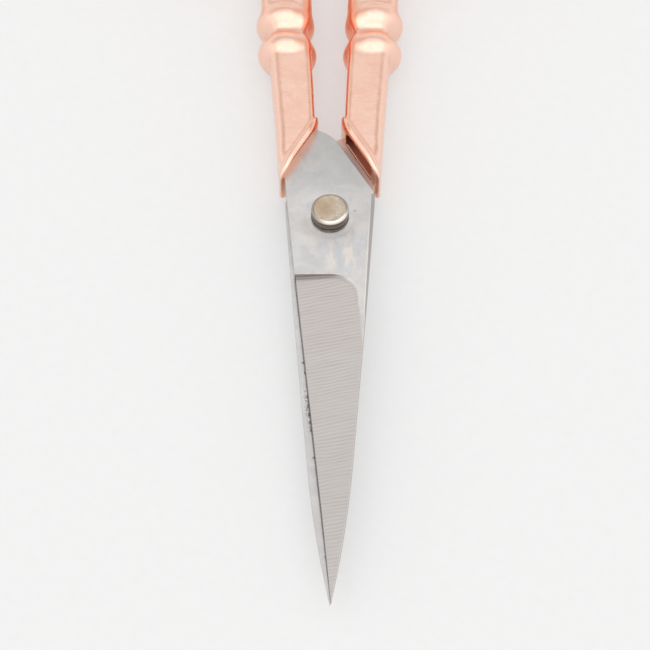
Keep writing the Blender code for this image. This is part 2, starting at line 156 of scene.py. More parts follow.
# Double beads and the bow
NODE_Y = 25.5
BEAD_RADIUS = 3.33
BEAD_ROUND = 1.62
BEAD_SPACING = 4.2
BEAD_OUTSET = 0.2
BEAD_WAIST = 0.35  # how much thinner the bar is between the two beads
BEAD_WAIST_RUN = 0.9
BOW_CENTRE = (-13.1, 54.5)
BOW_AXES = (10.6, 15.2)
BOW_HALF_WIDTH = 2.35
BOW_HALF_HEIGHT = 2.6
BOW_CORNER = 1.35
BOW_SWELL = 0.25
BOW_SWELL_RUN = 4.5
BOW_SWELL_START = 1.75  # beyond the middle of a bead
BOW_NODES = tuple(math.radians(a) for a in (75, 165, 255))

# Blends between the handle's parts: how far each fillet reaches
BEAD_FILLET = 0.5
LIP_FILLET = 0.16
BOW_FILLET = 1.6
FRONT_ROUND = 0.12
CHEEK_ROUND_MORE = 0.4

# Rivet and washer, heights from the parting plane
RIVET_RADIUS = 1.2
HEAD_RADIUS = 2.03
HEAD_BOTTOM = 2.10
HEAD_TOP = 3.35
TAIL_RADIUS = 1.75
TAIL_TOP = -1.60
TAIL_BOTTOM = -2.30
HEAD_RIM = 0.40
HEAD_FOOT = 0.15
TURNED_SIDES = 120
WASHER_RADIUS = 2.06
WASHER_BOTTOM = 1.60
WASHER_TOP = 2.05

# Camera
AIM = (-0.54, -13.83, 3.8)
AIM_DISTANCE = 286.0
CAMERA_ELEVATION = 57.4
SENSOR = 36.0
LENS = 149.54

# Light
PANEL_GAIN = 1.08


def smoothstep(t):
    t = np.clip(t, 0.0, 1.0)
    return t * t * (3 - 2 * t)


def between(value, limits):
    return smoothstep((value - limits[0]) / (limits[1] - limits[0]))


def smooth_min(a, b, reach):
    h = np.clip(0.5 + 0.5 * (b - a) / reach, 0.0, 1.0)
    return b * (1 - h) + a * h - reach * h * (1 - h)


def smooth_max(a, b, reach):
    return -smooth_min(-a, -b, reach)


# ---------------------------------------------------------------- meshes


def new_mesh_object(name, points, faces, normals=None):
    """A linked object from points in millimetres and faces of one size."""
    mesh = bpy.data.meshes.new(name)
    points = np.asarray(points, float) * MM
    faces = np.asarray(faces, np.int64)
    corners = faces.shape[1]
    mesh.vertices.add(len(points))
    mesh.vertices.foreach_set("co", points.ravel())
    mesh.loops.add(faces.size)
    mesh.loops.foreach_set("vertex_index", faces.ravel())
    mesh.polygons.add(len(faces))
    mesh.polygons.foreach_set("loop_start", np.arange(len(faces)) * corners)
    mesh.polygons.foreach_set("loop_total", np.full(len(faces), corners))
    mesh.update(calc_edges=True)
    mesh.validate()
    mesh.shade_smooth()
    if normals is not None:
        mesh.normals_split_custom_set_from_vertices(normals)
    made = bpy.data.objects.new(name, mesh)
    bpy.context.scene.collection.objects.link(made)
    return made


def ring_faces(sides, rings, closed=False):
    """Quads between rings of points that follow one another, joined into a loop of rings if closed."""
    around = np.arange(sides)
    following = (around + 1) % sides
    faces = []
    for j in range(rings if closed else rings - 1):
        this, beyond = j * sides, (j + 1) % rings * sides
        faces.append(np.stack([this + around, this + following, beyond + following, beyond + around], axis=1))
    return np.concatenate(faces)


def add_mask(mesh, label, values):
    """A number from 0 to 1 at each vertex, for a material to read."""
    attribute = mesh.attributes.new(label, "FLOAT", "POINT")
    attribute.data.foreach_set("value", np.asarray(values, np.float32))


def surface_net(field, xs, ys, zs):
    """Vertices and quads of the field's zero surface on a grid with uneven spacing."""
    inside = field < 0
    total = np.zeros([n - 1 for n in field.shape] + [3])
    count = np.zeros([n - 1 for n in field.shape])
    axes = (xs, ys, zs)
    crossings = []
    for axis in range(3):
        low = [slice(None)] * 3
        high = [slice(None)] * 3
        low[axis] = slice(None, -1)
        high[axis] = slice(1, None)
        low, high = tuple(low), tuple(high)
        crossed = inside[low] != inside[high]
        crossings.append((crossed, inside[low]))
        i, j, k = np.nonzero(crossed)
        index = [i, j, k]
        start = field[low][crossed]
        share = start / (start - field[high][crossed])
        place = np.stack([axes[d][index[d]] for d in range(3)], axis=1).astype(float)
        step = axes[axis][index[axis] + 1] - axes[axis][index[axis]]
        place[:, axis] += share * step
        others = [d for d in range(3) if d != axis]
        for a in (0, 1):
            for b in (0, 1):
                cell = [c.copy() for c in index]
                cell[others[0]] -= a
                cell[others[1]] -= b
                keep = np.all([(c >= 0) & (c < n) for c, n in zip(cell, count.shape)], axis=0)
                cell = tuple(c[keep] for c in cell)
                np.add.at(total, cell, place[keep])
                np.add.at(count, cell, 1)
    active = count > 0
    points = total[active] / count[active][:, None]
    number = np.full(count.shape, -1, np.int64)
    number[active] = np.arange(len(points))
    quads = []
    for axis in range(3):
        crossed, starts_inside = crossings[axis]
        i, j, k = np.nonzero(crossed)
        index = [i, j, k]
        b, c = (axis + 1) % 3, (axis + 2) % 3
        keep = (index[b] > 0) & (index[c] > 0)
        keep &= (index[b] < field.shape[b] - 1) & (index[c] < field.shape[c] - 1)
        index = [v[keep] for v in index]
        flip = ~starts_inside[crossed][keep]
        corners = []
        for db, dc in ((-1, -1), (0, -1), (0, 0), (-1, 0)):
            cell = [v.copy() for v in index]
            cell[b] += db
            cell[c] += dc
            corners.append(number[tuple(cell)])
        face = np.stack(corners, axis=1)
        face[flip] = face[flip][:, ::-1]
        quads.append(face)
    return points, np.concatenate(quads)


def settle(field, points, rounds, reach):
    """Moves points on to the field's zero surface, and returns them with the surface's normals."""
    eps = 0.004

    def slope(p):
        parts = []
        for axis in range(3):
            step = np.zeros(3)
            step[axis] = eps
            ahead = field(*(p + step).T)
            behind = field(*(p - step).T)
            parts.append((ahead - behind) / (2 * eps))
        return np.stack(parts, axis=1)

    for _ in range(rounds):
        value = field(*points.T)
        gradient = slope(points)
        size = np.maximum((gradient**2).sum(axis=1), 0.05)
        move = -gradient * (value / size)[:, None]
        length = np.linalg.norm(move, axis=1)
        move *= np.minimum(1.0, reach / np.maximum(length, 1e-9))[:, None]
        points = points + move
    normals = slope(points)
    normals /= np.maximum(np.linalg.norm(normals, axis=1), 1e-9)[:, None]
    return points, normals


# ---------------------------------------------------------------- handle


def bar_middle_x(y):
    """How far the bar's middle line lies from the long axis."""
    swung = (BAR_REAR_X - BAR_FRONT_X) * between(y, BAR_SWING)
    bent = np.maximum(0.0, y - BAR_BEND_Y) ** 2 / (2 * BAR_BEND_RADIUS)
    return BAR_FRONT_X + swung - bent


def rounded_section(across, up, half_width, half_height, corner):
    """Signed distance from a rounded rectangle."""
    a = np.abs(across) - half_width + corner
    b = np.abs(up) - half_height + corner
    outside = np.hypot(np.maximum(a, 0.0), np.maximum(b, 0.0))
    return np.minimum(np.maximum(a, b), 0.0) + outside - corner


def behind_mitre(x, y):
    """Distance behind the slanted front end of the bar."""
    return -((x - MITRE_POINT[0]) * MITRE_NORMAL[0] + (y - MITRE_POINT[1]) * MITRE_NORMAL[1])


def bar_shape(x, y, z):
    """The plain bar: width, height and corner change along it."""
    out = -x - bar_middle_x(y)
    rear = between(y, REAR_BEGINS)
    thinned = between(y, REAR_TAPER)
    front_half = BAR_HALF_WIDTHS[0] + (BAR_HALF_WIDTHS[1] - BAR_HALF_WIDTHS[0]) * between(y, BAR_WIDENS)
    rear_half = REAR_HALF_WIDTH + (NECK_HALF_WIDTH - REAR_HALF_WIDTH) * thinned
    waist = BEAD_WAIST * np.exp(-(((y - NODE_Y) / BEAD_WAIST_RUN) ** 2))
    half = front_half + (rear_half - front_half) * rear - waist
    height = BAR_HALF_HEIGHT + (NECK_HALF_HEIGHT - BAR_HALF_HEIGHT) * thinned - waist
    front_corner = np.where(out > 0, BAR_CORNERS[1], BAR_CORNERS[0])
    corner = front_corner + (REAR_CORNER - front_corner) * rear
    inset = BAR_INSET * between(y, BAR_WIDENS) * (1 - rear)
    run = behind_mitre(x, y) / -MITRE_NORMAL[1]
    drawn_in = NARROW_OUTER_TIP * (1 - smoothstep(run / NARROW_RUN))
    return rounded_section(out + inset + drawn_in / 2, z, half - drawn_in / 2, height, corner)


def bead(radius, along):
    """One rounded disc of a double bead."""
    return np.hypot(np.maximum(radius - (BEAD_RADIUS - BEAD_ROUND), 0.0), along) - BEAD_ROUND


def double_bead(radius, along):
    first = bead(radius, along - BEAD_SPACING / 2)
    second = bead(radius, along + BEAD_SPACING / 2)
    return np.minimum(first, second)


def bow_coordinates(x, y):
    """The angle of the nearest point of the bow's middle line, and the distance outwards from it."""
    a, b = BOW_AXES
    px, py = x - BOW_CENTRE[0], y - BOW_CENTRE[1]
    t = np.arctan2(py / b, px / a)
    for _ in range(6):
        c, s = np.cos(t), np.sin(t)
        ex, ey = a * c - px, b * s - py
        dx, dy = -a * s, b * c
        first = ex * dx + ey * dy
        second = dx * dx + dy * dy - ex * a * c - ey * b * s
        t = t - np.clip(first / np.where(np.abs(second) < 1.0, 1.0, second), -0.3, 0.3)
    c, s = np.cos(t), np.sin(t)
    nx, ny = b * c, a * s
    size = np.hypot(nx, ny)
    out = ((px - a * c) * nx + (py - b * s) * ny) / size
    return t, out


def bow_shape(x, y, z):
    """The closed finger ring, with three double beads on it."""
    t, out = bow_coordinates(x, y)
    swell = 0.0
    beads = None
    for node in BOW_NODES:
        pace = math.hypot(BOW_AXES[0] * math.sin(node), BOW_AXES[1] * math.cos(node))
        turn = (t - node + math.pi) % (2 * math.pi) - math.pi
        along = turn * pace
        beyond = np.maximum(0.0, np.abs(along) - BEAD_SPACING / 2 - BOW_SWELL_START)
        swell = np.maximum(swell, BOW_SWELL * (1 - smoothstep(beyond / BOW_SWELL_RUN)))
        found = double_bead(np.hypot(out, z), along)
        beads = found if beads is None else np.minimum(beads, found)
    ring = rounded_section(out, z, BOW_HALF_WIDTH + swell, BOW_HALF_HEIGHT + 0.3 * swell, BOW_CORNER)
    return smooth_min(ring, beads, 0.3)


def handle_field(x, y, z):
    """The whole handle as one field, negative inside: bar, beads, lip, mitred end and bow."""
    plain = bar_shape(x, y, z)
    out = -x - bar_middle_x(y) - BEAD_OUTSET
    beads = double_bead(np.hypot(out, z), y - NODE_Y)
    bar = smooth_min(plain, beads, BEAD_FILLET)
    behind = behind_mitre(x, y)
    lip = np.hypot(plain + LIP_SINK, behind - LIP_BEHIND) - LIP_RADIUS
    bar = smooth_min(bar, lip, LIP_FILLET)
    bar = smooth_max(bar, -behind, FRONT_ROUND + CHEEK_ROUND_MORE * between(-x, CHEEK_ROUND))
    border = MATING_RECESS_BORDER + MATING_RECESS_WIDER * between(-x, MATING_RECESS_WIDENS)
    hollow = smooth_max(plain + border, behind - MATING_RECESS_DEPTH, 0.3)
    hollow = smooth_max(hollow, z - MATING_RECESS_FLOOR, 0.15)
    bar = smooth_max(bar, -hollow, FRONT_ROUND)
    bar = smooth_max(bar, y - BAR_END_Y, 1.0)
    return smooth_min(bar, bow_shape(x, y, z), BOW_FILLET)


def spaced(stops):
    """Places from one stop to the next, each stretch with its own spacing."""
    places = [stops[0][0]]
    for (start, spacing), (end, _) in zip(stops, stops[1:]):
        count = max(1, round((end - start) / spacing))
        places += list(np.linspace(start, end, count + 1)[1:])
    return np.array(places)


def handle_piece(name):
    """The casting's mesh, closest where the lip and beads are."""
    xs = spaced([(-27.6, 0.30), (-8.6, 0.15), (0.4, 0)])
    ys = spaced([(1.6, 0.13), (13.5, 0.25), (20.8, 0.17), (30.4, 0.28), (73.6, 0)])
    zs = spaced([(-3.73, 0.22), (3.71, 0)])
    field = handle_field(xs[:, None, None], ys[None, :, None], zs[None, None, :])
    points, quads = surface_net(field, xs, ys, zs)
    points, normals = settle(handle_field, points, 5, 0.12)
    made = new_mesh_object(name, points, quads, normals)
    x, y, z = points.T
    # The recess's mask, where the material paints shade on the copper
    within = smoothstep((-bar_shape(x, y, z) - 0.18) / 0.2) * smoothstep((behind_mitre(x, y) - 0.05) / 0.2)
    add_mask(made.data, "hollow", within * (y < MITRE_POINT[1] + 8))
    return made


# ---------------------------------------------------------------- blade


def quadratic_corner(before, corner, after, radius, steps=8):
    """Points round a softened corner between two straight lines."""
    before, corner, after = (np.array(p, float) for p in (before, corner, after))
    start = corner + (before - corner) / np.linalg.norm(before - corner) * radius
    end = corner + (after - corner) / np.linalg.norm(after - corner) * radius
    points = []
    for t in np.linspace(0, 1, steps + 1):
        points.append(start * (1 - t) ** 2 + corner * 2 * t * (1 - t) + end * t**2)
    return points


def tang_end(side):
    """The tang's rounded end, on one side."""
    centre_y = TANG_END_Y - TANG_HALF_WIDTH
    points = []
    for angle in np.linspace(0, math.pi / 2, 10):
        x = TANG_X + side * TANG_HALF_WIDTH * math.cos(angle)
        points.append((x, centre_y + TANG_HALF_WIDTH * math.sin(angle)))
    return points


LEFT_LINE = np.array(
    [TIP, EDGE_START, EDGE_WAIST, EDGE_SHOULDER, (TANG_X - TANG_HALF_WIDTH, TANG_ROOT_Y - 4)]
    + tang_end(-1)
)


def right_line():
    """The spine side of the outline, from the tip to the tang's end."""
    first = np.array([SPINE_START[0] - SPINE_TAPER * SPINE_STRAIGHT, SPINE_START[1] - SPINE_STRAIGHT])
    rest = first[1] - TIP[1]
    drop = first[0] - SPINE_TAPER * rest - TIP[0]
    points = []
    for t in np.linspace(1, 0, 25):
        points.append((first[0] - SPINE_TAPER * rest * t - drop * t**2, first[1] - rest * t))
    points.append(SPINE_START)
    points += quadratic_corner(SPINE_START, SPINE_SHOULDER, CROWN, SHOULDER_ROUND)
    points += quadratic_corner(SPINE_SHOULDER, CROWN, APEX, CROWN_ROUND)
    points.append(APEX)
    points.append((APEX[0] - 0.63, APEX[1] + 0.13))
    points.append((TANG_X + TANG_HALF_WIDTH, TANG_ROOT_Y))
    return np.array(points + tang_end(1))


RIGHT_LINE = right_line()


def left_x(y):
    return np.interp(y, LEFT_LINE[:, 1], LEFT_LINE[:, 0])


def right_x(y):
    return np.interp(y, RIGHT_LINE[:, 1], RIGHT_LINE[:, 0])


def burr_reach(y):
    """How far the burrs stand out of the sharpened edge."""
    reach = 0.0
    for place, height, half in BURRS:
        reach = np.maximum(reach, height * np.maximum(0.0, 1 - np.abs(y - place) / half))
    rough = 0.010 * np.sin(7.3 * y) * np.sin(2.9 * y + 1.0) + 0.008 * np.sin(17.0 * y)
    return reach + np.where(y < -10, np.abs(rough), 0.0)


def inside_step(x, y):
    """Distance from the step at the end of the ground face, which turns a round corner at the spine side."""
    aside = np.clip(x - GRIND_CORNER_X + GRIND_CORNER, 0.0, None)
    ahead = np.clip(y - GRIND_STEP_Y + GRIND_CORNER, 0.0, None)
    inside = GRIND_CORNER - np.hypot(aside, ahead)
    freed = between(y, (-15.5, -11.0))
    return np.where(y < GRIND_STEP_Y - GRIND_CORNER, inside + 2.0 * (1 - freed), inside)


def step_share(x, y):
    """1 on the step, falling to 0 over the ground face beside it."""
    inside = inside_step(x, y)
    fall = 1 - smoothstep((inside - GRIND_FILLET * 0.6) / 0.42)
    return np.where(inside < -0.03, 0.0, fall)


def grind_depth(x, y):
    """How far the ground face lies below the flat of the blade."""
    along = np.maximum(0.0, GRIND_FALL_Y - y)
    floor = (GRIND_SPINE_X - x) * GRIND_SLOPE + along**2 / (2 * GRIND_FALL_RADIUS)
    inside = inside_step(x, y)
    share = np.clip(1 - inside / GRIND_FILLET, 0.0, 1.0)
    lift = GRIND_FILLET * (1 - np.sqrt(np.maximum(0.0, 1 - share**2)))
    lift = lift + np.maximum(0.0, -inside) * 20
    return floor - lift


def edge_round(distance, radius):
    """How far a rounded edge lies below the flat, at a distance from the side."""
    inward = np.clip(radius - distance, 0.0, radius)
    return radius - np.sqrt(np.maximum(0.0, radius**2 - inward**2))


def blade_top(x, y):
    """Height of the blade's upper face, with its grind, edge, chamfer and rounded corners."""
    depth = grind_depth(x, y)
    top = BLADE_TOP - smooth_max(depth, 0.0, 0.012)
    sharp = BLADE_BOTTOM + BLADE_LEAST + np.maximum(0.0, x - left_x(y)) * EDGE_SLOPE
    top = np.where(y < GRIND_STEP_Y, smooth_min(top, sharp, 0.05), top)
    (x0, y0), (x1, y1) = CHAMFER_TOP
    chamfer_x = x0 + (x1 - x0) * (y - y0) / (y1 - y0)
    begins, ends = CHAMFER_FADES
    faded = CHAMFER_FADE * (1 - between(y, begins) + between(y, ends))
    chamfer = BLADE_TOP - (x - chamfer_x - faded) * CHAMFER_SLOPE
    top = smooth_min(top, chamfer, 0.10)
    left_round = np.where(y < GRIND_STEP_Y, 0.0, edge_round(x - left_x(y), 0.07))
    return top - left_round - edge_round(right_x(y) - x, 0.06)


LEFT_OFFSETS = np.array([0, 0.012, 0.03, 0.05, 0.075, 0.105, 0.14, 0.18, 0.225, 0.275, 0.33, 0.40, 0.50])
RIGHT_OFFSETS = np.array([0, 0.01, 0.025, 0.045, 0.07, 0.11, 0.16, 0.22, 0.29, 0.37, 0.46, 0.58, 0.74])


def blade_stations():
    """Places along Y for the blade's rings, closest at the step, the shoulders and the burrs."""
    stops = [(TIP_Y, 0.10), (-44.0, 0.2), (-10.0, 0.07), (-7.9, 0.022), (-7.38, 0.22), (2.4, 0.08)]
    stops += [(3.8, 0.22), (10.0, 0.05), (12.1, 0.3), (18.85, 0.12), (TANG_END_Y - 0.02, 0)]
    places = list(spaced(stops))
    for place, _, half in BURRS:
        places += [place + half * share for share in (-1.0, -0.6, -0.25, 0.0, 0.25, 0.6, 1.0)]
    places = np.array(sorted(places))
    keep = np.concatenate([[True], np.diff(places) > 0.008])
    return places[keep]


def blade_piece(name):
    """The ground blade with its tang: rings along Y, each a top line and a flat bottom, then drilled."""
    rings = []
    masks = []
    middle = 44
    bottom_points = 10
    for y in blade_stations():
        left, right = float(left_x(y)), float(right_x(y))
        burr = float(burr_reach(y)) if y < EDGE_START[1] - 0.5 else 0.0
        width = right - left
        scale = min(1.0, width / 2.6)
        near = left + LEFT_OFFSETS * scale
        far = right - RIGHT_OFFSETS[::-1] * scale
        xs = np.concatenate([near, np.linspace(near[-1], far[0], middle + 2)[1:-1], far])
        top = np.maximum(blade_top(xs, np.full_like(xs, y)), BLADE_BOTTOM + BLADE_LEAST)
        xs = xs.copy()
        xs[0] -= burr
        bottom_x = np.linspace(xs[-1], xs[0], bottom_points)
        ring = [(x, y, z) for x, z in zip(xs, top)]
        ring += [(x, y, BLADE_BOTTOM) for x in bottom_x]
        rings.append(ring)
        ground = np.clip(grind_depth(xs, y) / 0.012, 0.0, 1.0)
        bevel = 1 - smoothstep((xs - left - EDGE_BEVEL_WIDTH * scale) / 0.05)
        bevel = bevel * float(y < GRIND_STEP_Y)
        # The step mask: where the material paints shade in the crease at the end of the grind
        step = step_share(xs, y) * np.clip(grind_depth(xs, y - 0.3) / STEP_TINT_DEPTH, 0.0, 1.0)
        masks.append(list(zip(ground, bevel, step)) + [(0.0, 0.0, 0.0)] * bottom_points)
    points = np.array(rings).reshape(-1, 3)
    made = new_mesh_object(name, points, ring_faces(len(rings[0]), len(rings)))
    mesh = made.data
    mask = np.array(masks).reshape(-1, 3)
    for column, label in enumerate(("ground", "bevel", "step")):
        add_mask(mesh, label, mask[:, column])
    shape = bmesh.new()
    shape.from_mesh(mesh)
    edges = [e for e in shape.edges if e.is_boundary]
    bmesh.ops.holes_fill(shape, edges=edges, sides=0)
    bmesh.ops.recalc_face_normals(shape, faces=shape.faces)
    shape.to_mesh(mesh)
    shape.free()
    drill(made, PIVOT_HOLE)
    made.data.shade_smooth()
    made.data.set_sharp_from_angle(angle=math.radians(32))
    return made


def drill(target, radius):
    """Cuts the pivot hole, with the Boolean applied."""
    shape = bmesh.new()
    bmesh.ops.create_cone(
        shape, cap_ends=True, segments=96, radius1=radius * MM, radius2=radius * MM, depth=8 * MM
    )
    mesh = bpy.data.meshes.new("drill")
    shape.to_mesh(mesh)
    shape.free()
    tool = bpy.data.objects.new("drill", mesh)
    bpy.context.scene.collection.objects.link(tool)
    cut = target.modifiers.new("pivot_hole", "BOOLEAN")
    cut.operation = "DIFFERENCE"
    cut.solver = "EXACT"
    cut.object = tool
    bpy.context.view_layer.update()
    graph = bpy.context.evaluated_depsgraph_get()
    result = bpy.data.meshes.new_from_object(target.evaluated_get(graph))
    target.modifiers.remove(cut)
    target.data = result
    result.name = target.name
    bpy.data.objects.remove(tool)


# ---------------------------------------------------------------- rivet and washer


def turned_piece(name, profile, waver):
    """A solid of revolution about Z from (radius, height) pairs, bottom to top.

    The function waver shifts a ring's points.
    """
    sides = TURNED_SIDES
    angles = np.arange(sides) * 2 * math.pi / sides
    rings = []
    for radius, height in profile:
        across, up = waver(radius, height, angles)
        rings.append(np.stack([across * np.cos(angles), across * np.sin(angles), up], axis=1))
    ends = [[[0, 0, ring[:, 2].mean()]] for ring in (rings[0], rings[-1])]
    points = np.concatenate(rings + ends)
    made = new_mesh_object(name, points, ring_faces(sides, len(rings)))
    shape = bmesh.new()
    shape.from_mesh(made.data)
    shape.verts.ensure_lookup_table()
    low, high = shape.verts[len(points) - 2], shape.verts[len(points) - 1]
    last = (len(rings) - 1) * sides
    for i in range(sides):
        j = (i + 1) % sides
        shape.faces.new((low, shape.verts[j], shape.verts[i]))
        shape.faces.new((high, shape.verts[last + i], shape.verts[last + j]))
    bmesh.ops.recalc_face_normals(shape, faces=shape.faces)
    shape.to_mesh(made.data)
    shape.free()
    made.data.shade_smooth()
    made.data.set_sharp_from_angle(angle=math.radians(40))
    return made


def quarter(radius, height, round_radius, start, end, steps=8):
    """Points round a rounded corner whose centre is at (radius, height)."""
    points = []
    for angle in np.linspace(math.radians(start), math.radians(end), steps + 1):
        points.append((radius + round_radius * math.cos(angle), height + round_radius * math.sin(angle)))
    return points


def rivet_piece(name):
    """Head, shank and peened tail, the head a little uneven and dished as if hammered."""
    rim, foot = HEAD_RIM, HEAD_FOOT
    profile = [(0.5, TAIL_BOTTOM), (1.0, TAIL_BOTTOM), (1.2, TAIL_BOTTOM)]
    profile += quarter(TAIL_RADIUS - 0.3, TAIL_BOTTOM + 0.34, 0.3, -70, 0, 6)
    profile += [(TAIL_RADIUS, TAIL_TOP), (RIVET_RADIUS, TAIL_TOP)]
    profile += [(RIVET_RADIUS, HEAD_BOTTOM)]
    profile += quarter(HEAD_RADIUS - foot, HEAD_BOTTOM + foot, foot, -90, 0, 4)
    profile += quarter(HEAD_RADIUS - rim, HEAD_TOP - rim, rim, 0, 82, 10)
    for share in (0.92, 0.84, 0.74, 0.62, 0.5, 0.38, 0.26, 0.14, 0.05):
        profile.append(((HEAD_RADIUS - rim) * share, HEAD_TOP))

    def waver(radius, height, angles):
        on_top = smoothstep((height - HEAD_TOP + 0.4) / 0.35)
        lobes = 0.012 * np.sin(2 * angles + 0.6) + 0.006 * np.sin(5 * angles + 1.9)
        share = radius / (HEAD_RADIUS - rim)
        dish = -0.045 * np.exp(-(((share - 0.1) / 0.5) ** 2)) if height > HEAD_TOP - 0.01 else 0.0
        wobble = 0.012 * np.sin(angles * 2 + share * 3.0) + 0.008 * np.sin(angles * 3 - share * 5.0)
        across = radius - np.abs(lobes) * on_top
        up = height + on_top * (dish + wobble * min(share, 1.0) - 0.02)
        return across, up + np.zeros_like(angles)

    return turned_piece(name, profile, waver)


def washer_piece(name):
    """A flat ring with soft corners: the profile closes on itself round the hole."""
    soft = 0.07
    inner = PIVOT_HOLE
    profile = [(inner, WASHER_TOP - 0.02), (inner, WASHER_BOTTOM + 0.02), (inner + 0.02, WASHER_BOTTOM)]
    profile += quarter(WASHER_RADIUS - soft, WASHER_BOTTOM + soft, soft, -90, 0, 5)
    profile += quarter(WASHER_RADIUS - soft, WASHER_TOP - soft, soft, 0, 90, 5)
    profile += [(inner + 0.02, WASHER_TOP)]
    points = []
    for radius, height in profile:
        for angle in np.arange(TURNED_SIDES) * 2 * math.pi / TURNED_SIDES:
            points.append((radius * math.cos(angle), radius * math.sin(angle), height))
    made = new_mesh_object(name, points, ring_faces(TURNED_SIDES, len(profile), closed=True))
    made.data.set_sharp_from_angle(angle=math.radians(40))
    return made


# ---------------------------------------------------------------- materials


class Nodes:
    """Short calls that put nodes together in one node tree."""

    def __init__(self, tree):
        self.tree = tree

    def put(self, kind, inputs, **settings):
        node = self.tree.nodes.new(kind)
        for key, value in settings.items():
            setattr(node, key, value)
        for key, value in inputs.items():
            self.feed(node.inputs[key], value)
        return node

    def feed(self, socket, value):
        if isinstance(value, bpy.types.NodeSocket):
            self.tree.links.new(value, socket)
        else:
            socket.default_value = value

    def math(self, operation, a, b=0.0):
        return self.put("ShaderNodeMath", {0: a, 1: b}, operation=operation).outputs[0]

    def times(self, first, *others):
        for other in others:
            first = self.math("MULTIPLY", first, other)
        return first

    def ramp(self, value, low, high, start=0.0, end=1.0):
        inputs = {"Value": value, "From Min": low, "From Max": high, "To Min": start, "To Max": end}
        return self.put("ShaderNodeMapRange", inputs, interpolation_type="SMOOTHSTEP").outputs[0]

    def mix(self, share, a, b):
        a = (*a, 1.0) if isinstance(a, tuple) else a
        b = (*b, 1.0) if isinstance(b, tuple) else b
        return self.put("ShaderNodeMix", {0: share, 6: a, 7: b}, data_type="RGBA").outputs[2]

    def lerp(self, share, a, b):
        return self.put("ShaderNodeMix", {0: share, 2: a, 3: b}, data_type="FLOAT").outputs[0]

    def axes(self, vector):
        return self.put("ShaderNodeSeparateXYZ", {0: vector}).outputs


class Shade(Nodes):
    """A Principled material. Its place is in millimetres about the pivot, in the piece's own frame."""

    def __init__(self, name):
        self.material = bpy.data.materials.new(name)
        self.material.use_nodes = True
        super().__init__(self.material.node_tree)
        self.shader = self.tree.nodes["Principled BSDF"]
        coordinates = self.tree.nodes.new("ShaderNodeTexCoord")
        self.place = self.mapped(coordinates.outputs["Object"], scale=(1000, 1000, 1000))
        self.facing = coordinates.outputs["Normal"]
        self.x, self.y, self.z = self.axes(self.place)
        self.facing_x, _, self.facing_z = self.axes(self.facing)

    def mapped(self, vector, scale=(1, 1, 1), turn=(0, 0, 0), shift=(0, 0, 0)):
        inputs = {"Vector": vector, "Scale": scale, "Rotation": turn, "Location": shift}
        return self.put("ShaderNodeMapping", inputs).outputs["Vector"]

    def noise(self, vector, scale, detail=2.0, rough=0.5, bend=0.0):
        inputs = {"Vector": vector, "Scale": scale, "Detail": detail, "Roughness": rough, "Distortion": bend}
        return self.put("ShaderNodeTexNoise", inputs).outputs["Fac"]

    def attribute(self, name):
        return self.put("ShaderNodeAttribute", {}, attribute_name=name).outputs["Fac"]

    def spot(self, centre, radius, soft):
        """1 inside a ball about a place in millimetres, 0 outside it."""
        away = self.put("ShaderNodeVectorMath", {0: self.place, 1: centre}, operation="DISTANCE")
        return self.ramp(away.outputs["Value"], radius, radius + soft, 1.0, 0.0)

    def bump(self, height, distance, below=None):
        inputs = {"Height": height, "Distance": distance * MM, "Strength": 1.0}
        if below is not None:
            inputs["Normal"] = below
        return self.put("ShaderNodeBump", inputs).outputs["Normal"]

    def done(self, colour, roughness, normal, metallic=1.0):
        self.feed(self.shader.inputs["Base Color"], colour)
        self.feed(self.shader.inputs["Roughness"], roughness)
        self.feed(self.shader.inputs["Normal"], normal)
        self.shader.inputs["Metallic"].default_value = metallic
        return self.material


